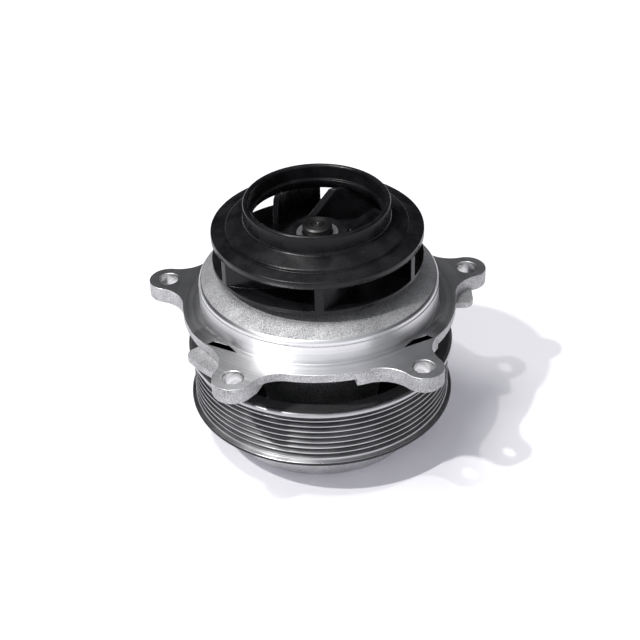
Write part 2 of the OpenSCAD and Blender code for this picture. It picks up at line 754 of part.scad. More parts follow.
module pulley_section() {
    round_r = 1.9;
    foot_z = -pulley_bottom;
    wall_r = pulley_bore_r - cup_t / 2;
    polygon(concat(
        [[pulley_bore_r, -pulley_top]],
        arc([pulley_r - round_r, -pulley_top - round_r], round_r, 90, 0, 10),
        groove_points(),
        [[crest_r, -lip_top + 1], [pulley_r, -lip_top], [pulley_r, -lip_bottom + 0.5],
            [pulley_r - 0.5, -lip_bottom], [pulley_bore_r + 3, -lip_bottom - 0.6],
            [pulley_bore_r + 1.5, -lip_bottom - 2]],
        arc([foot_r, foot_z + foot_round], foot_round, -18, -90, 10),
        [[web_r + 6, foot_z], [web_r + 4.6, foot_z + 0.8], [web_r, web_z], [pilot_r, web_z],
            [pilot_r, web_top], [web_r + 1.6, web_top], [web_r + 6, foot_z + cup_t]],
        arc([foot_r, foot_z + foot_round], foot_round - cup_t, -90, -18, 8),
        [[wall_r - 1, -lip_bottom], [pulley_bore_r - 0.2, -lip_bottom + 7], [pulley_bore_r, -lip_bottom + 9]]));
}

module pulley() {
    color("#55565a") difference() {
        rotate_extrude() pulley_section();
        around(hub_bolt_count, 45) translate([hub_bolt_circle_r, 0, web_z - eps])
            cylinder(r = hub_bolt_r + 0.4, h = cup_t + 2 * eps);
    }
}

module pulley_washers() {
    color("silver") around(hub_bolt_count, 45) translate([hub_bolt_circle_r, 0, 0])
        tube(hub_bolt_head_r + 0.6, hub_bolt_r + 0.3, web_z - washer_t, washer_t);
}

module pulley_bolts() {
    seat = web_z - washer_t;
    color("gray") around(hub_bolt_count, 45) translate([hub_bolt_circle_r, 0, seat]) {
        cylinder(r = hub_bolt_r, h = washer_t + cup_t + hub_flange_t - 0.5);
        translate([0, 0, -hub_bolt_head_h]) cylinder(r = hub_bolt_head_r, h = hub_bolt_head_h, $fn = 6);
    }
}

housing();
bearing_sleeve();
ball_set();
ball_cage();
roller_set();
roller_cage();
inner_bearing_seal();
outer_bearing_seal();
bearing_snap_ring();
seal_cup();
seal_bellows();
seal_spring();
seal_drive_band();
carbon_ring();
seal_seat_ring();
seal_seat_boot();
slinger();
shaft();
impeller_insert();
impeller_body();
impeller_shroud();
pulley_hub();
pulley();
pulley_bolts();
pulley_washers();
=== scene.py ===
"""The looks of a belt-driven engine coolant pump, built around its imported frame.

Every piece stands where the frame has it. Turned pieces are profiles carried round the pump's
axis, castings are merged and softly bevelled copies of the frame's own nodes, and each finish is
a procedural material that reads Object coordinates.
"""
import logging
import math
from dataclasses import dataclass, field
from enum import Enum

import bmesh
import bpy
import numpy as np
from mathutils import Matrix, Vector


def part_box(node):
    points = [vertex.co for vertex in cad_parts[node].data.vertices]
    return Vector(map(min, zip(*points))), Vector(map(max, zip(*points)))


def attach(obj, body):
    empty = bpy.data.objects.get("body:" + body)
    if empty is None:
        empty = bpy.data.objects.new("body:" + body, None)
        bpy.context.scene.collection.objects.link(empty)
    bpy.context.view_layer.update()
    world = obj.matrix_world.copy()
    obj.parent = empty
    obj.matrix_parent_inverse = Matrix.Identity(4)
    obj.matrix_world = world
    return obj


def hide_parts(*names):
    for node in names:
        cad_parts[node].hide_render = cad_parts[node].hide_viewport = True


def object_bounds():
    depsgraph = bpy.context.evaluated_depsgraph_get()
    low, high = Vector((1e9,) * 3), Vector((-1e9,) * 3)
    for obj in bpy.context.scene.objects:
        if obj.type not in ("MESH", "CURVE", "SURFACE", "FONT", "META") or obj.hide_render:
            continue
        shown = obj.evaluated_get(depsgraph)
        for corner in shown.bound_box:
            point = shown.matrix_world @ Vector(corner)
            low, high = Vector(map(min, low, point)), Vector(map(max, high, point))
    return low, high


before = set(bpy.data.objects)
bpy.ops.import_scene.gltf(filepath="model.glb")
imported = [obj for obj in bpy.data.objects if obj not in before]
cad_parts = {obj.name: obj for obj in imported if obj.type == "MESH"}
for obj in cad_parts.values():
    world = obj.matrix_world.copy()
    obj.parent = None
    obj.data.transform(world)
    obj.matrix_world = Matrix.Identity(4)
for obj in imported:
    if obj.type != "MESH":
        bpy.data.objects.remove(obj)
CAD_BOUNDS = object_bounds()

MM = 0.001
LOG = logging.getLogger("pump")


# ---- Small tools -------------------------------------------------------------------------------

class Sketch:
    """A short way to place and join the nodes of one shader tree."""

    def __init__(self, tree: bpy.types.NodeTree) -> None:
        """Keeps the tree that the nodes go into.

        Args:
            tree: the material's or the group's node tree.
        """
        self.tree = tree

    def add(self, kind: str, inputs: dict | None = None, **settings) -> bpy.types.Node:
        """Places one node.

        Args:
            kind: the node's type name in Blender.
            inputs: what goes into its sockets by name or index: a value, or a socket to join.
            settings: the node's own properties.

        Returns:
            The new node.
        """
        made = self.tree.nodes.new(kind)
        for key, value in settings.items():
            setattr(made, key, value)
        for key, value in (inputs or {}).items():
            if isinstance(value, bpy.types.NodeSocket):
                self.tree.links.new(value, made.inputs[key])
            else:
                made.inputs[key].default_value = value
        return made

    def math(self, operation: str, a, b=0.0, clamp: bool = False) -> bpy.types.NodeSocket:
        """A sum on one or two numbers.

        Args:
            operation: the Math node's operation.
            a: the first number or socket.
            b: the second number or socket.
            clamp: whether the result is kept from 0 to 1.

        Returns:
            The socket that holds the result.
        """
        return self.add("ShaderNodeMath", {0: a, 1: b}, operation=operation, use_clamp=clamp).outputs[0]

    def ramp(self, value, low: float, high: float, to_low: float = 0.0, to_high: float = 1.0):
        """A smooth step: the value from low to high becomes to_low to to_high.

        Args:
            value: the socket to read.
            low: where the step starts.
            high: where it ends.
            to_low: the result below the step.
            to_high: the result above it.

        Returns:
            The socket that holds the result.
        """
        return self.add("ShaderNodeMapRange", {"Value": value, "From Min": low, "From Max": high,
            "To Min": to_low, "To Max": to_high}, interpolation_type="SMOOTHSTEP").outputs[0]

    def mix(self, share, one: tuple, other: tuple) -> bpy.types.NodeSocket:
        """A colour between two colours.

        Args:
            share: 0 gives the first colour and 1 the second.
            one: the first colour or socket.
            other: the second colour or socket.

        Returns:
            The colour socket.
        """
        node = self.add("ShaderNodeMix", {0: share}, data_type="RGBA")
        for index, colour in ((6, one), (7, other)):
            if isinstance(colour, bpy.types.NodeSocket):
                self.tree.links.new(colour, node.inputs[index])
            else:
                node.inputs[index].default_value = (*colour, 1.0)
        return node.outputs[2]

    def noise(self, vector, scale, detail: float = 3.0, rough: float = 0.55) -> bpy.types.NodeSocket:
        """A noise of about 0 to 1 over a vector.

        Args:
            vector: the socket with the coordinates.
            scale: how many features fit in one metre.
            detail: how many finer layers it has.
            rough: how strong those layers are.

        Returns:
            The noise's value.
        """
        return self.add("ShaderNodeTexNoise", {"Vector": vector, "Scale": scale, "Detail": detail,
            "Roughness": rough}).outputs[0]


def shader_group(name: str, inputs: dict, outputs: list[str]) -> tuple:
    """Starts a shader node group with named sockets.

    Args:
        name: the group's name.
        inputs: each input's name and its default number, or None for a vector.
        outputs: the names of its values.

    Returns:
        The tree, its sketch, its input node's sockets and a function that joins an output.
    """
    tree = bpy.data.node_groups.new(name, "ShaderNodeTree")
    for key, value in inputs.items():
        kind = "NodeSocketVector" if value is None else "NodeSocketFloat"
        socket = tree.interface.new_socket(key, in_out="INPUT", socket_type=kind)
        if value is not None:
            socket.default_value = value
    for key in outputs:
        tree.interface.new_socket(key, in_out="OUTPUT", socket_type="NodeSocketFloat")
    source, sink = tree.nodes.new("NodeGroupInput"), tree.nodes.new("NodeGroupOutput")

    def give(key: str, socket: bpy.types.NodeSocket) -> None:
        """Joins a value to the group's output of that name."""
        tree.links.new(socket, sink.inputs[key])

    return tree, Sketch(tree), source.outputs, give


def ring_marks() -> bpy.types.NodeTree:
    """Lathe marks: a one-way noise of radius plus height, so each line runs round the axis.

    Returns:
        The group. Line is the fine tool marks, Band the broad ones and Height what they stand.
    """
    tree, sk, given, give = shader_group("ring_marks", {"Vector": None, "Pitch": 0.25},
        ["Line", "Band", "Height"])
    flat = sk.add("ShaderNodeVectorMath", {0: given["Vector"], 1: (1, 1, 0)}, operation="MULTIPLY").outputs[0]
    radius = sk.add("ShaderNodeVectorMath", {0: flat}, operation="LENGTH").outputs["Value"]
    height = sk.add("ShaderNodeSeparateXYZ", {0: given["Vector"]}).outputs[2]
    along = sk.math("ADD", radius, height)
    sway = sk.noise(given["Vector"], 45.0, 1.0)
    along = sk.math("ADD", along, sk.math("MULTIPLY", sway, 0.00006))
    steps = sk.math("DIVIDE", along, sk.math("MULTIPLY", given["Pitch"], MM))
    fine = sk.add("ShaderNodeTexNoise", {"W": steps, "Scale": 1.0, "Detail": 2.0}, noise_dimensions="1D")
    broad = sk.add("ShaderNodeTexNoise", {"W": steps, "Scale": 0.11, "Detail": 2.0}, noise_dimensions="1D")
    give("Line", fine.outputs[0])
    give("Band", broad.outputs[0])
    give("Height", sk.math("ADD", fine.outputs[0], sk.math("MULTIPLY", broad.outputs[0], 1.4)))
    return tree


def sand_skin() -> bpy.types.NodeTree:
    """The skin of a sand casting: rounded grains with pits between them.

    Returns:
        The group. Speckle is the light and dark of the grains, Pit the small holes, Height both.
    """
    tree, sk, given, give = shader_group("sand_skin", {"Vector": None, "Grain": 0.7},
        ["Speckle", "Pit", "Height"])
    scale = sk.math("DIVIDE", 1000.0, given["Grain"])
    grain = sk.noise(given["Vector"], scale, 3.0, 0.7)
    cells = sk.add("ShaderNodeTexVoronoi", {"Vector": given["Vector"],
        "Scale": sk.math("MULTIPLY", scale, 1.3)})
    pits = sk.ramp(sk.noise(given["Vector"], sk.math("MULTIPLY", scale, 0.45), 2.0), 0.66, 0.74)
    speckle = sk.ramp(grain, 0.34, 0.66)
    give("Speckle", speckle)
    give("Pit", pits)
    rise = sk.math("ADD", sk.math("MULTIPLY", cells.outputs["Distance"], -0.5), speckle)
    give("Height", sk.math("SUBTRACT", rise, sk.math("MULTIPLY", pits, 1.2)))
    return tree


def scuffs() -> bpy.types.NodeTree:
    """Handling marks: thin broken scratches in two directions, and soft smudges.

    Returns:
        The group. Scratch is the thin marks and Smudge the soft ones.
    """
    tree, sk, given, give = shader_group("scuffs", {"Vector": None, "Amount": 0.5}, ["Scratch", "Smudge"])
    found = []
    for turn, stretch in ((0.5, 14.0), (2.1, 11.0)):
        turned = sk.add("ShaderNodeVectorRotate", {"Vector": given["Vector"], "Angle": turn},
            rotation_type="Z_AXIS").outputs[0]
        long = sk.add("ShaderNodeVectorMath", {0: turned, 1: (1.0, stretch, stretch * 0.6)},
            operation="MULTIPLY")
        line = sk.ramp(sk.noise(long.outputs[0], 190.0, 2.0, 0.6), 0.69, 0.74)
        patch = sk.ramp(sk.noise(turned, 60.0, 1.0), 0.5, 0.62)
        found.append(sk.math("MULTIPLY", line, patch))
    give("Scratch", sk.math("MULTIPLY", sk.math("MAXIMUM", *found), given["Amount"], clamp=True))
    soft = sk.ramp(sk.noise(given["Vector"], 38.0, 4.0, 0.62), 0.42, 0.72)
    give("Smudge", sk.math("MULTIPLY", soft, given["Amount"], clamp=True))
    return tree


def dust() -> bpy.types.NodeTree:
    """Pale specks of dust, a few to each square centimetre.

    Returns:
        The group. Speck is 1 on a speck.
    """
    tree, sk, given, give = shader_group("dust", {"Vector": None, "Size": 0.08}, ["Speck"])
    cells = sk.add("ShaderNodeTexVoronoi", {"Vector": given["Vector"], "Scale": 330.0, "Randomness": 1.0})
    near = sk.math("LESS_THAN", cells.outputs["Distance"], given["Size"])
    pick = sk.add("ShaderNodeSeparateColor", {0: cells.outputs["Color"]}).outputs[0]
    give("Speck", sk.math("MULTIPLY", near, sk.math("GREATER_THAN", pick, 0.93)))
    return tree


GROUPS = {made.name: made for made in (ring_marks(), sand_skin(), scuffs(), dust())}


# ---- Finishes ----------------------------------------------------------------------------------

class Tooling(Enum):
    """How a surface was made."""

    TURNED = "turned"
    CAST = "cast"
    BLASTED = "blasted"
    GROUND = "ground"
    MOULDED = "moulded"


@dataclass(frozen=True)
class Finish:
    """One finish, with the numbers that its material is built from."""

    name: str
    tooling: Tooling
    dark: tuple[float, float, float]
    light: tuple[float, float, float]
    metallic: float = 1.0
    roughness: tuple[float, float] = (0.3, 0.45)
    relief: float = 0.02
    scale: float = 0.3
    anisotropy: float = 0.0
    wear: float = 0.3
    specular: float = 0.5

    def build(self) -> bpy.types.Material:
        """Builds the finish's material, or returns it if it is there.

        Returns:
            The material.
        """
        if self.name in bpy.data.materials:
            return bpy.data.materials[self.name]
        made = bpy.data.materials.new(self.name)
        made.use_nodes = True
        made.node_tree.nodes.clear()
        sk = Sketch(made.node_tree)
        where = sk.add("ShaderNodeTexCoord").outputs["Object"]
        marks = self.group(sk, "scuffs", where, Amount=self.wear)
        share, height = self.pattern(sk, where)
        colour = sk.mix(share, self.dark, self.light)
        if self.tooling is Tooling.MOULDED:
            specks = self.group(sk, "dust", where)
            speck = sk.math("MULTIPLY", specks.outputs["Speck"], 0.5)
            pale = sk.math("MAXIMUM", speck, marks.outputs["Scratch"])
            colour = sk.mix(sk.math("MULTIPLY", pale, 0.35), colour, (0.35, 0.35, 0.37))
        rough = sk.ramp(share, 0.0, 1.0, *self.roughness)
        rough = sk.math("ADD", rough, sk.math("MULTIPLY", marks.outputs["Smudge"], 0.16))
        rough = sk.math("ADD", rough, sk.math("MULTIPLY", marks.outputs["Scratch"], 0.12), clamp=True)
        tall = sk.math("SUBTRACT", height, sk.math("MULTIPLY", marks.outputs["Scratch"], 0.6))
        bump = sk.add("ShaderNodeBump", {"Height": tall, "Distance": self.relief * MM, "Strength": 1.0})
        shader = sk.add("ShaderNodeBsdfPrincipled", {"Base Color": colour, "Roughness": rough,
            "Normal": bump.outputs[0], "Metallic": self.metallic, "Specular IOR Level": self.specular})
        if self.anisotropy:
            shader.inputs["Anisotropic"].default_value = self.anisotropy
            shader.inputs["Anisotropic Rotation"].default_value = 0.25
            round_axis = sk.add("ShaderNodeTangent", direction_type="RADIAL", axis="Z")
            made.node_tree.links.new(round_axis.outputs[0], shader.inputs["Tangent"])
        sk.add("ShaderNodeOutputMaterial", {"Surface": shader.outputs[0]})
        return made

    def group(self, sk: Sketch, name: str, where: bpy.types.NodeSocket, **values: float) -> bpy.types.Node:
        """Places one of the shared groups.

        Args:
            sk: the material's sketch.
            name: the group's name.
            where: the coordinates that it reads.
            values: its other inputs.

        Returns:
            The group's node.
        """
        node = sk.add("ShaderNodeGroup", node_tree=GROUPS[name])
        sk.tree.links.new(where, node.inputs["Vector"])
        for key, value in values.items():
            node.inputs[key].default_value = value
        return node

    def pattern(self, sk: Sketch, where: bpy.types.NodeSocket) -> tuple:
        """The pattern that the tooling leaves.

        Args:
            sk: the material's sketch.
            where: the coordinates.

        Returns:
            The share of the light colour, and the height.
        """
        if self.tooling in (Tooling.TURNED, Tooling.GROUND):
            node = self.group(sk, "ring_marks", where, Pitch=self.scale)
            cloud = sk.noise(where, 70.0, 3.0)
            band = sk.math("MULTIPLY", node.outputs["Band"], 0.6)
            both = sk.math("ADD", band, sk.math("MULTIPLY", cloud, 0.4))
            return sk.ramp(both, 0.34, 0.66), node.outputs["Height"]
        if self.tooling in (Tooling.CAST, Tooling.BLASTED):
            node = self.group(sk, "sand_skin", where, Grain=self.scale)
            cloud = sk.ramp(sk.noise(where, 55.0, 4.0), 0.3, 0.7)
            grains = sk.math("MULTIPLY", node.outputs["Speckle"], 0.7)
            share = sk.math("ADD", grains, sk.math("MULTIPLY", cloud, 0.3))
            return sk.math("SUBTRACT", share, sk.math("MULTIPLY", node.outputs["Pit"], 0.5), clamp=True), \
                node.outputs["Height"]
        flow = sk.noise(where, 90.0, 5.0, 0.6)
        grain = sk.noise(where, 1000.0 / self.scale, 2.0)
        height = sk.math("ADD", grain, sk.math("MULTIPLY", flow, 2.0))
        return sk.ramp(flow, 0.3, 0.72), height


CAST_SKIN = Finish("cast_skin", Tooling.CAST, (0.26, 0.26, 0.265), (0.70, 0.70, 0.71), 1.0,
    (0.72, 0.58), 0.05, 0.6)
TURNED_LAND = Finish("turned_aluminium", Tooling.TURNED, (0.72, 0.72, 0.73), (0.79, 0.79, 0.80), 1.0,
    (0.34, 0.38), 0.0005, 0.22, 0.55, 0.25)
BORED_HOLE = Finish("bored_aluminium", Tooling.TURNED, (0.46, 0.46, 0.46), (0.78, 0.78, 0.78), 1.0,
    (0.25, 0.36), 0.012, 0.5, 0.0, 0.2)
IMPELLER_BLACK = Finish("glass_filled_plastic", Tooling.MOULDED, (0.0045, 0.0045, 0.0052),
    (0.012, 0.0115, 0.013), 0.0, (0.20, 0.32), 0.004, 0.35, 0.0, 0.22, 0.21)
PULLEY_TURNED = Finish("turned_pulley_steel", Tooling.TURNED, (0.18, 0.18, 0.185), (0.31, 0.31, 0.315), 1.0,
    (0.32, 0.44), 0.004, 0.3, 0.5, 0.4)
# Bright steel for the groove crests and the lip's outer edge: a painted highlight on the crests and a painted
# reflection of the floor on the lip edge.
PULLEY_PAINTED_HIGHLIGHT = Finish("painted_highlight_steel", Tooling.TURNED, (0.42, 0.42, 0.43), (0.62, 0.62, 0.63), 1.0,
    (0.26, 0.36), 0.003, 0.3, 0.5, 0.4)
PULLEY_BLASTED = Finish("blasted_pulley_steel", Tooling.BLASTED,
    (0.30, 0.30, 0.305), (0.78, 0.78, 0.785), 1.0,
    (0.66, 0.5), 0.03, 0.45)
PULLEY_FACE = Finish("coated_rim_face", Tooling.BLASTED, (0.022, 0.022, 0.023), (0.050, 0.050, 0.052), 0.0,
    (0.6, 0.48), 0.012, 0.35, 0.0, 0.4, 0.4)
# Near-black for the pulley's inner faces: painted shade of the deep recess under the flange.
PULLEY_RECESS_SHADE = Finish("recess_painted_shade", Tooling.MOULDED,
    (0.010, 0.010, 0.011), (0.020, 0.020, 0.021), 0.0,
    (0.5, 0.66), 0.02, 0.5, 0.0, 0.3, 0.4)
SHAFT_STEEL = Finish("ground_shaft_steel", Tooling.GROUND, (0.05, 0.049, 0.048), (0.10, 0.098, 0.096), 1.0,
    (0.40, 0.50), 0.004, 0.3, 0.4)
INSERT_STEEL = Finish("sintered_insert_steel", Tooling.BLASTED, (0.34, 0.34, 0.35), (0.6, 0.6, 0.61), 1.0,
    (0.5, 0.36), 0.02, 0.3)
BEARING_STEEL = Finish("ground_bearing_steel", Tooling.GROUND, (0.5, 0.5, 0.51), (0.66, 0.66, 0.67), 1.0,
    (0.14, 0.24), 0.004, 0.25, 0.4)
ROLLED_STEEL = Finish("stainless_sheet", Tooling.GROUND, (0.55, 0.54, 0.52), (0.72, 0.71, 0.69), 1.0,
    (0.26, 0.36), 0.006, 0.3, 0.4)
HUB_STEEL = Finish("turned_hub_steel", Tooling.TURNED, (0.2, 0.2, 0.2), (0.36, 0.36, 0.36), 1.0,
    (0.32, 0.46), 0.012, 0.35, 0.4)
ZINC = Finish("zinc_plate", Tooling.BLASTED, (0.48, 0.5, 0.52), (0.7, 0.71, 0.72), 1.0,
    (0.4, 0.28), 0.006, 0.5)
SPRING_DARK = Finish("blued_spring_steel", Tooling.BLASTED, (0.06, 0.06, 0.07), (0.14, 0.14, 0.15), 1.0,
    (0.45, 0.34), 0.006, 0.4)
RUBBER = Finish("nitrile_rubber", Tooling.MOULDED, (0.012, 0.012, 0.012), (0.026, 0.026, 0.026), 0.0,
    (0.6, 0.8), 0.03, 0.4, 0.0, 0.3, 0.35)
CARBON = Finish("carbon_graphite", Tooling.TURNED, (0.035, 0.035, 0.037), (0.075, 0.075, 0.078), 0.0,
    (0.3, 0.42), 0.004, 0.2, 0.0, 0.2)
CARBIDE = Finish("silicon_carbide", Tooling.GROUND, (0.05, 0.052, 0.055), (0.1, 0.103, 0.108), 0.0,
    (0.12, 0.24), 0.003, 0.2, 0.0, 0.1)
NYLON = Finish("cage_nylon", Tooling.MOULDED, (0.42, 0.31, 0.18), (0.55, 0.42, 0.26), 0.0,
    (0.4, 0.55), 0.02, 0.6, 0.0, 0.2, 0.5)


# ---- Meshes ------------------------------------------------------------------------------------

def rounded(corners: np.ndarray, radius: float | np.ndarray, steps: int = 4) -> np.ndarray:
    """Rounds each corner of a closed profile.

    A corner P becomes the parabola (1-t)^2 A + 2t(1-t) P + t^2 B, where A and B lie on its two
    sides at the radius from P, or at 45 percent of a shorter side.

    Args:
        corners: the profile's corners as rows of radius and height.
        radius: how far from each corner the curve starts.
        steps: points to each corner.

    Returns:
        The rounded profile.
    """
    before, after = np.roll(corners, 1, 0) - corners, np.roll(corners, -1, 0) - corners
    radius = np.broadcast_to(np.asarray(radius, float), len(corners))
    ends = []
    for side in (before, after):
        long = np.linalg.norm(side, axis=1)
        ends.append(corners + side * (np.minimum(radius, 0.45 * long) / long)[:, None])
    t = np.linspace(0, 1, steps)[None, :, None]
    curve = (1 - t) ** 2 * ends[0][:, None] + 2 * t * (1 - t) * corners[:, None] + t**2 * ends[1][:, None]
    return curve.reshape(-1, 2)


def arc(centre: tuple[float, float], radius: float, start: float, end: float, steps: int) -> np.ndarray:
    """Points on an arc: centre plus radius times (cos a, sin a), with a from start to end in degrees.

    Args:
        centre: the arc's centre.
        radius: its radius.
        start: its first angle.
        end: its last angle.
        steps: how many points.

    Returns:
        The points as rows.
    """
    a = np.radians(np.linspace(start, end, steps))
    return np.asarray(centre, float) + radius * np.stack([np.cos(a), np.sin(a)], 1)


def cubic(points: list[tuple[float, float]], steps: int) -> np.ndarray:
    """Points on a cubic curve: the four control points weighted by (1-t)^3, 3(1-t)^2 t, 3(1-t)t^2 and t^3.

    Args:
        points: the four control points.
        steps: how many points.

    Returns:
        The points as rows.
    """
    t = np.linspace(0, 1, steps)[:, None]
    p = np.asarray(points, float)
    return p[0] * (1 - t) ** 3 + p[1] * 3 * (1 - t) ** 2 * t + p[2] * 3 * (1 - t) * t**2 + p[3] * t**3


def link(name: str, mesh: bpy.types.Mesh) -> bpy.types.Object:
    """Puts a mesh into the scene as a smooth-shaded piece.

    Args:
        name: the piece's name.
        mesh: its mesh.

    Returns:
        The piece.
    """
    made = bpy.data.objects.new(name, mesh)
    bpy.context.scene.collection.objects.link(made)
    mesh.polygons.foreach_set("use_smooth", np.ones(len(mesh.polygons), bool))
    return made


def weigh_normals(piece: bpy.types.Object) -> None:
    """Makes flat faces shade flat beside rounded edges.

    Args:
        piece: the piece that gets the modifier.
    """
    weighted = piece.modifiers.new("weighted_normals", "WEIGHTED_NORMAL")
    weighted.mode = "FACE_AREA"
    weighted.weight = 80
    weighted.keep_sharp = True


def lathe(name: str, profile: np.ndarray, segments: int = 256) -> bpy.types.Object:
    """Carries a closed profile round the Z axis: x = r cos a, y = r sin a, z = z, on a grid of r,z by a.

    Args:
        name: the piece's name.
        profile: rows of radius and height in millimetres.
        segments: steps round the axis.

    Returns:
        The turned piece.
    """
    a = np.linspace(0, 2 * np.pi, segments, endpoint=False)
    r, z = profile[:, 0:1] * MM, profile[:, 1:2] * MM
    grid = np.stack([r * np.cos(a), r * np.sin(a), z + 0 * a], -1)
    count = len(profile)
    i, j = np.meshgrid(np.arange(count), np.arange(segments), indexing="ij")
    k, m = (i + 1) % count, (j + 1) % segments
    corners = [i * segments + j, i * segments + m, k * segments + m, k * segments + j]
    faces = np.stack(corners, -1).reshape(-1, 4)
    mesh = bpy.data.meshes.new(name)
    mesh.from_pydata(grid.reshape(-1, 3).tolist(), [], faces.tolist())
    bm = bmesh.new()
    bm.from_mesh(mesh)
    bmesh.ops.remove_doubles(bm, verts=bm.verts, dist=1e-7)
    bmesh.ops.recalc_face_normals(bm, faces=bm.faces)
    bm.to_mesh(mesh)
    bm.free()
    made = link(name, mesh)
    weigh_normals(made)
    return made


def copy_of(node: str, name: str, edge: float, limit: float = 30.0) -> bpy.types.Object:
    """A merged copy of a frame node, with a soft bevel on its edges.

    Args:
        node: the frame node.
        name: the new piece's name.
        edge: the bevel's width in millimetres.
        limit: the angle in degrees past which an edge is bevelled.

    Returns:
        The piece.
    """
    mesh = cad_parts[node].data.copy()
    mesh.materials.clear()
    for spare in ("custom_normal", "sharp_edge"):
        if spare in mesh.attributes:
            mesh.attributes.remove(mesh.attributes[spare])
    bm = bmesh.new()
    bm.from_mesh(mesh)
    bmesh.ops.remove_doubles(bm, verts=bm.verts, dist=2e-6)
    bmesh.ops.dissolve_limit(bm, angle_limit=math.radians(0.4), verts=bm.verts, edges=bm.edges)
    bm.to_mesh(mesh)
    bm.free()
    made = link(name, mesh)
    bevel = made.modifiers.new("soft_edges", "BEVEL")
    bevel.width, bevel.segments = edge * MM, 3
    bevel.limit_method, bevel.angle_limit = "ANGLE", math.radians(limit)
    bevel.use_clamp_overlap = False
    weigh_normals(made)
    return made


@dataclass
class Faces:
    """Where the faces of a mesh lie and look, as arrays in millimetres."""

    centre: np.ndarray
    normal: np.ndarray

    @classmethod
    def of(cls, piece: bpy.types.Object) -> "Faces":
        """Reads the faces of a piece's own mesh."""
        count = len(piece.data.polygons)
        centre, normal = np.empty(count * 3), np.empty(count * 3)
        piece.data.polygons.foreach_get("center", centre)
        piece.data.polygons.foreach_get("normal", normal)
        return cls(centre.reshape(-1, 3) / MM, normal.reshape(-1, 3))

    @property
    def radius(self) -> np.ndarray:
        """Distance of each face from the axis."""
        return np.hypot(self.centre[:, 0], self.centre[:, 1])

    @property
    def outward(self) -> np.ndarray:
        """How far each face looks away from the axis, from -1 to 1."""
        return (self.centre[:, 0] * self.normal[:, 0] + self.centre[:, 1] * self.normal[:, 1]) / self.radius


def paint(piece: bpy.types.Object, finishes: list[Finish], choice: np.ndarray | None = None) -> None:
    """Gives a piece its finishes.

    Args:
        piece: the piece.
        finishes: its finishes, in the order of its material slots.
        choice: the slot of each face, or None for the first one all over.
    """
    piece.data.materials.clear()
    for finish in finishes:
        piece.data.materials.append(finish.build())
    if choice is not None:
        piece.data.polygons.foreach_set("material_index", choice.astype(np.int32))


# ---- Sub-assemblies ----------------------------------------------------------------------------

@dataclass
class SubAssembly:
    """Pieces that are dressed together and ride on one body."""

    body: str

    def place(self, piece: bpy.types.Object, node: str, slot: str) -> None:
        """Sets a finished piece on the body, in the place of its node.

        Args:
            piece: the piece.
            node: the frame node that it stands for.
            slot: the record's material slot; not used.
        """
        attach(piece, self.body)
        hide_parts(node)
        LOG.info("%s stands for %s on %s", piece.name, node, self.body)

    def soften(self, node: str, finish: Finish, slot: str, edge: float = 0.15) -> bpy.types.Object:
        """Stands a bevelled copy in the place of a node, all in one finish.

        Args:
            node: the frame node.
            finish: its finish.
            slot: the record's material slot.
            edge: the bevel's width.

        Returns:
            The piece.
        """
        piece = copy_of(node, node + "_shown", edge)
        paint(piece, [finish])
        self.place(piece, node, slot)
        return piece


@dataclass
class Housing(SubAssembly):
    """The flanged casting, with its turned spigot and lands."""

    body: str = "pump_body"
    spigot_r: float = 65.5
    spigot_h: float = 14.3
    bolt_circle_r: float = 87.2
    hole_r: float = 5.25
    lugs: tuple[float, ...] = (-121.5, -53, 17, 91, 165)
    bearing_r: float = 26.0
    edge: float = 0.45

    def build(self) -> None:
        """Builds the casting and tells its turned, bored and cast faces apart."""
        piece = copy_of("housing", "housing_casting", self.edge, 26.0)
        faces = Faces.of(piece)
        z, up = faces.centre[:, 2], faces.normal[:, 2]
        wall = (abs(faces.radius - self.spigot_r) < 1.0) & (faces.outward > 0.9) & (z > -2)
        chamfer = (faces.radius > self.spigot_r - 1.8) & (z > self.spigot_h - 1.6) & (faces.outward > 0.3)
        land = (up > 0.9) & (z > -2.4) & (z < 0.4)
        turn = np.radians(self.lugs)
        holes = self.bolt_circle_r * np.stack([np.cos(turn), np.sin(turn)], 1)
        apart = np.linalg.norm(faces.centre[:, None, :2] - holes[None], axis=2).min(1)
        bored = (apart < self.hole_r + 1.2) & (abs(up) < 0.95)
        bore = (faces.radius < self.bearing_r + 0.3) & (faces.outward < -0.9)
        choice = np.where(bored | bore, 2, np.where(wall | chamfer | land, 1, 0))
        paint(piece, [CAST_SKIN, TURNED_LAND, BORED_HOLE], choice)
        self.place(piece, "housing", "cast_aluminium")


@dataclass
class ShaftBearing(SubAssembly):
    """The integral bearing: what stays still rides on the housing."""

    body: str = "pump_body"

    def build(self) -> None:
        """Dresses the sleeve, the seals and the snap ring, then each rolling row on its own body."""
        self.soften("bearing_sleeve", BEARING_STEEL, "bearing_steel", 0.4)
        for node in ("inner_bearing_seal", "outer_bearing_seal"):
            self.soften(node, RUBBER, "seal_rubber", 0.15)
        self.soften("bearing_snap_ring", SPRING_DARK, "ring_steel", 0.15)
        for body, kind in (("ball_row", "ball"), ("roller_row", "roller")):
            row = SubAssembly(body)
            row.soften(kind + "_set", BEARING_STEEL, "bearing_steel", 0.1)
            row.soften(kind + "_cage", NYLON, "cage_nylon", 0.2)


@dataclass
class FaceSeal(SubAssembly):
    """The spring-loaded seal: its carbon side stays still and its seat turns with the shaft."""

    body: str = "pump_body"

    def build(self) -> None:
        """Dresses both sides of the seal."""
        self.soften("seal_cup", ROLLED_STEEL, "stainless_sheet", 0.12)
        self.soften("seal_bellows", RUBBER, "seal_rubber", 0.12)
        self.soften("seal_spring", ROLLED_STEEL, "spring_steel", 0.02)
        self.soften("seal_drive_band", ROLLED_STEEL, "stainless_sheet", 0.1)
        self.soften("carbon_ring", CARBON, "carbon_graphite", 0.12)
        seat = SubAssembly("rotor")
        seat.soften("seal_seat_ring", CARBIDE, "silicon_carbide", 0.15)
        seat.soften("seal_seat_boot", RUBBER, "seal_rubber", 0.12)
        seat.soften("slinger", ROLLED_STEEL, "stainless_sheet", 0.12)


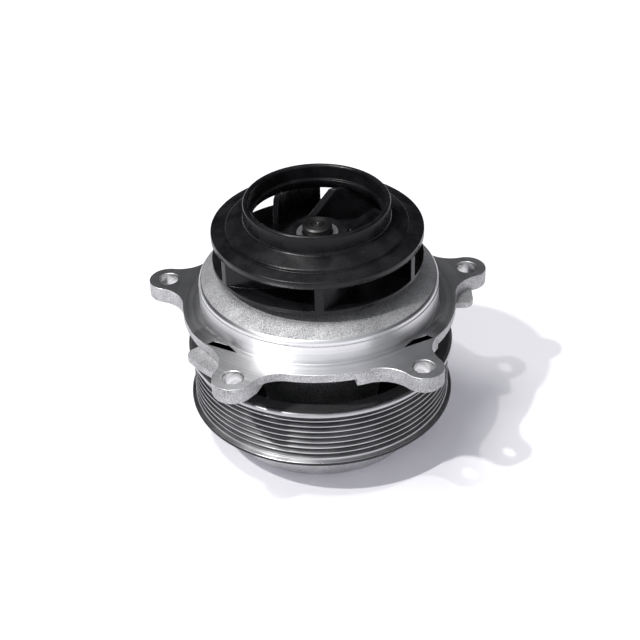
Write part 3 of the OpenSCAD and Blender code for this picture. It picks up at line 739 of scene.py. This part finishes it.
@dataclass
class DriveShaft(SubAssembly):
    """The shaft and the metal insert that the impeller grips it with."""

    body: str = "rotor"

    def build(self) -> None:
        """Dresses the shaft and the insert."""
        self.soften("shaft", SHAFT_STEEL, "shaft_steel", 0.1)
        self.soften("impeller_insert", INSERT_STEEL, "insert_steel", 0.2)


@dataclass
class Impeller(SubAssembly):
    """The moulded impeller: back disc, vanes and hub in one, and the welded-on shroud."""

    body: str = "rotor"
    eye_r: float = 39.3
    eye_wall: float = 3.0
    throat_step: float = 1.8
    ledge_drop: float = 8.2
    outlet_top: float = 40.6
    shroud_t: float = 3.0
    bead_r: float = 1.6
    groove_in: float = 7.4
    groove_up: float = 1.9

    def shroud_profile(self) -> np.ndarray:
        """The shroud's closed section: the passage curve, the eye ring and the cone between ring and rim.

        Returns:
            Rows of radius and height.
        """
        low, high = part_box("impeller_shroud")
        rim, top = high.x / MM, high.z / MM
        inner = self.eye_r - self.eye_wall
        throat, ledge = inner - self.throat_step, top - self.ledge_drop
        passage = cubic([(rim, self.outlet_top), (rim - 13, self.outlet_top + 1), (throat + 1.5, ledge - 7.8),
            (throat, ledge - 1.8)], 30)
        edge = self.outlet_top + self.shroud_t
        half = self.eye_wall / 2
        seat = np.array([(throat, ledge - 1), (throat, ledge), (inner, ledge), (inner, ledge + 2)])
        lip = rounded(seat, 0.5, 5)[5:-5]
        bead = arc((self.eye_r + self.bead_r, ledge - 1), self.bead_r, 180, 256, 9)
        low_x, low_z = rim - self.groove_in, edge + self.groove_up
        cone = np.array([bead[-1], (low_x - 0.9, low_z + 1.25), (low_x - 0.3, low_z), (low_x + 0.35, low_z),
            (low_x + 0.95, low_z + 0.35), (rim - 0.1, edge + 0.6), (rim, self.outlet_top + 1)])
        shoulder = rounded(cone, np.array([0, 0.7, 0.3, 0.3, 0.5, 0.7, 0]), 5)[5:-5]
        crown = arc((inner + half, top - half), half, 180, 0, 13)
        return np.concatenate([passage, lip, crown, bead, shoulder])

    def build(self) -> None:
        """Builds the shroud as a turned piece and the body as a softened copy."""
        shroud = lathe("impeller_shroud_moulding", self.shroud_profile(), 288)
        paint(shroud, [IMPELLER_BLACK])
        self.place(shroud, "impeller_shroud", "impeller_plastic")
        self.soften("impeller_body", IMPELLER_BLACK, "impeller_plastic", 0.3)


@dataclass
class BeltPulley(SubAssembly):
    """The poly-V pulley with its hub, bolts and washers."""

    body: str = "rotor"
    bore_r: float = 64.5
    rim_stand: float = 2.3
    groove_count: int = 8
    groove_pitch: float = 3.56
    groove_depth: float = 2.8
    groove_floor: float = 0.9
    first_groove: float = 4.77
    lip_t: float = 1.6
    lip_drop: float = 1.7
    face_r: float = 71.6
    foot_r: float = 48.0
    foot_round: float = 8.0
    cup_t: float = 3.0
    web_r: float = 30.0
    web_drop: float = 10.0
    pilot_r: float = 13.4

    def grooves(self, rim: float, top: float) -> np.ndarray:
        """Belt grooves: four corners for each, on flanks of 20 degrees, moved down by the pitch.

        Args:
            rim: the pulley's outer radius.
            top: the height of its top face.

        Returns:
            Rows of radius and height.
        """
        crest = rim - self.rim_stand
        floor = crest - self.groove_depth
        half, spread = self.groove_floor / 2, self.groove_depth * math.tan(math.radians(20))
        one = np.array([(crest, half + spread), (floor, half), (floor, -half), (crest, -half - spread)])
        middles = top - self.first_groove - self.groove_pitch * np.arange(self.groove_count)
        all_of = one[None] + np.stack([0 * middles, middles], 1)[:, None]
        first = all_of[0, 0]
        all_of[0, 0] = (rim - 0.1, first[1] + (rim - crest) * math.tan(math.radians(20)))
        return all_of.reshape(-1, 2)

    def section(self) -> tuple[np.ndarray, float]:
        """The pulley's closed section from its top face down to its cup.

        Returns:
            Rows of radius and height, and the height of the lip.
        """
        low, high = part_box("pulley")
        rim, top, foot = high.x / MM, high.z / MM, low.z / MM
        track = self.grooves(rim, top)
        crest = rim - self.rim_stand
        lip = track[-1, 1] - 0.5 * self.groove_pitch + self.groove_floor / 2 + self.groove_depth * 0.364
        lip -= self.lip_drop
        web, wall = foot + self.web_drop, self.bore_r - self.cup_t / 2
        corners = np.concatenate([
            [(self.bore_r, top), (rim - 0.2, top), (rim, top - 2.2)], track,
            [(crest, lip + 1), (rim, lip), (rim, lip - self.lip_t), (self.bore_r + 3, lip - self.lip_t - 0.6),
             (self.bore_r + 1.5, lip - self.lip_t - 2)],
            arc((self.foot_r, foot + self.foot_round), self.foot_round, -18, -90, 9),
            [(self.web_r + 6, foot), (self.web_r + 4.6, foot + 0.8), (self.web_r, web), (self.pilot_r, web),
             (self.pilot_r, web + self.cup_t), (self.web_r + 1.6, web + self.cup_t),
             (self.web_r + 6, foot + self.cup_t)],
            arc((self.foot_r, foot + self.foot_round), self.foot_round - self.cup_t, -90, -18, 7),
            [(wall - 1, lip - self.lip_t), (self.bore_r - 0.2, lip - self.lip_t + 7),
             (self.bore_r, lip - self.lip_t + 9)]])
        return corners, lip

    def crest_r(self, corners: np.ndarray) -> float:
        """The radius of the crests between the belt grooves, from the section's corners."""
        return float(corners[:, 0].max()) - self.rim_stand

    def build(self) -> None:
        """Turns the pulley, tells its turned, blasted and coated faces apart, paints shade on its inner faces
        and a highlight on its crests and lip edge, and dresses the rest.
        """
        corners, lip = self.section()
        radius = np.full(len(corners), 0.5)
        radius[1:3] = 1.7
        radius[3:3 + 4 * self.groove_count] = 0.22
        piece = lathe("pulley_turning", rounded(corners, radius, 4), 240)
        faces = Faces.of(piece)
        z, up = faces.centre[:, 2], faces.normal[:, 2]
        below = (z < lip - self.lip_t - 0.3) & ((faces.outward > 0.2) | (up < -0.5))
        # Inward faces and faces under the lip, apart from the cup, are painted near-black as the recess's
        # shade.
        shaded_recess = (faces.outward < 0.1) & ~below | (z < lip) & ~below
        top = corners[:, 1].max()
        annulus = (z > top - 0.15) & (faces.radius < self.face_r)
        # Crest tops and the lip's outer edge take the bright finish: a painted highlight on the crests and a
        # painted reflection on the lip edge.
        crest = (faces.radius > self.crest_r(corners) - 0.3) & (faces.outward > 0.55) & ~below
        lip_painted_reflection = (z < lip + 0.2) & (z > lip - self.lip_t - 0.4) & (faces.radius > self.bore_r + 6)
        painted_highlight = np.where(crest | lip_painted_reflection, 4, 0)
        choice = np.where(below, 1, np.where(annulus, 3, np.where(shaded_recess, 2, painted_highlight)))
        paint(piece, [PULLEY_TURNED, PULLEY_BLASTED, PULLEY_RECESS_SHADE, PULLEY_FACE, PULLEY_PAINTED_HIGHLIGHT], choice)
        self.place(piece, "pulley", "pulley_steel")
        self.soften("pulley_hub", HUB_STEEL, "hub_steel", 0.3)
        self.soften("pulley_bolts", ZINC, "bolt_zinc", 0.3)
        self.soften("pulley_washers", ZINC, "bolt_zinc", 0.15)


# ---- Studio ------------------------------------------------------------------------------------

@dataclass
class Lamp:
    """One area lamp, aimed at the pump."""

    name: str
    towards: tuple[float, float, float]
    distance: float
    size: float
    power: float
    colour: tuple[float, float, float] = (1.0, 1.0, 1.0)

    def build(self, aim: Vector) -> None:
        """Hangs the lamp.

        Args:
            aim: the point that it shines at.
        """
        data = bpy.data.lights.new(self.name, "AREA")
        data.shape, data.size, data.energy, data.color = "DISK", self.size, self.power, self.colour
        lamp = bpy.data.objects.new(self.name, data)
        bpy.context.scene.collection.objects.link(lamp)
        back = Vector(self.towards).normalized()
        lamp.location = aim + back * self.distance
        lamp.rotation_euler = back.to_track_quat("Z", "Y").to_euler()


@dataclass
class Studio:
    """A pale floor, soft lamps and the camera."""

    distance: float = 0.8658
    elevation: float = 34.61
    roll: float = -1.72
    aim_height: float = -0.0173
    lens: float = 87.7
    floor_size: float = 8.0
    floor_glow: tuple[float, ...] = (0.105, 0.10, 0.12, 1.0)
    world_low: float = 0.015
    world_high: float = 0.50
    world_front: float = 0.75
    lamps: list[Lamp] = field(default_factory=lambda: [
        Lamp("key_lamp", (-0.49, -0.34, 0.80), 4.0, 0.14, 98.0),
        Lamp("second_lamp", (-0.30, -0.20, 0.93), 4.0, 0.12, 28.0, (1.0, 0.985, 0.96)),
        Lamp("top_softbox", (-0.22, 0.02, 0.97), 2.0, 0.9, 16.0),
    ])

    def camera(self) -> None:
        """Sets the camera: back from the aim point along the elevation, rolled about its own axis."""
        rise, roll = math.radians(self.elevation), math.radians(self.roll)
        back = Vector((0, -math.cos(rise), math.sin(rise)))
        level, upright = Vector((1, 0, 0)), back.cross(Vector((1, 0, 0)))
        across = level * math.cos(roll) + upright * math.sin(roll)
        data = bpy.data.cameras.new("camera")
        data.lens, data.sensor_width, data.clip_start = self.lens, 36.0, 0.01
        camera = bpy.data.objects.new("camera", data)
        bpy.context.scene.collection.objects.link(camera)
        turn = Matrix((across, back.cross(across), back)).transposed()
        place = Matrix.Translation(Vector((0, 0, self.aim_height)) + back * self.distance)
        camera.matrix_world = place @ turn.to_4x4()
        bpy.context.scene.camera = camera

    def floor(self) -> None:
        """Lays the floor under the lowest point of the pump, in a faintly mottled, faintly glowing white."""
        mesh = bpy.data.meshes.new("floor")
        half, low = self.floor_size / 2, CAD_BOUNDS[0].z
        mesh.from_pydata([(-half, -half, low), (half, -half, low), (half, half, low), (-half, half, low)], [],
            [(0, 1, 2, 3)])
        made = link("floor", mesh)
        material = bpy.data.materials.new("studio_floor")
        material.use_nodes = True
        material.node_tree.nodes.clear()
        sk = Sketch(material.node_tree)
        where = sk.add("ShaderNodeTexCoord").outputs["Object"]
        colour = sk.mix(sk.noise(where, 9.0, 3.0), (0.88, 0.875, 0.895), (0.91, 0.905, 0.925))
        shader = sk.add("ShaderNodeBsdfPrincipled", {"Base Color": colour, "Roughness": 0.7,
            "Emission Color": self.floor_glow, "Emission Strength": 1.0})
        sk.add("ShaderNodeOutputMaterial", {"Surface": shader.outputs[0]})
        mesh.materials.append(material)

    def air(self) -> None:
        """Lights the world softly: dim at eye level behind the pump, brighter overhead and in front."""
        world = bpy.data.worlds.new("air")
        world.use_nodes = True
        plain = world.node_tree.nodes["Background"]
        plain.inputs[0].default_value = (0.93, 0.95, 1.0, 1.0)
        sk = Sketch(world.node_tree)
        looking = sk.add("ShaderNodeTexCoord").outputs["Generated"]
        where = sk.add("ShaderNodeSeparateXYZ", {0: looking}).outputs
        overhead = sk.ramp(where[2], 0.52, 1.0, self.world_low, self.world_high)
        front = sk.ramp(where[1], -0.2, -1.0, 0.0, self.world_front)
        world.node_tree.links.new(sk.math("ADD", overhead, front), plain.inputs[1])
        bpy.context.scene.world = world
        bpy.context.scene.view_settings.view_transform = "Standard"

    def build(self) -> None:
        """Builds the whole studio."""
        self.camera()
        self.floor()
        self.air()
        for lamp in self.lamps:
            lamp.build(Vector((0, 0, self.aim_height)))


def main() -> None:
    """Builds the studio and each sub-assembly."""
    logging.basicConfig(level=logging.INFO, format="%(name)s: %(message)s")
    Studio().build()
    for part in (Housing(), ShaftBearing(), FaceSeal(), DriveShaft(), Impeller(), BeltPulley()):
        part.build()
    bpy.context.view_layer.update()


if __name__ == "__main__":
    main()
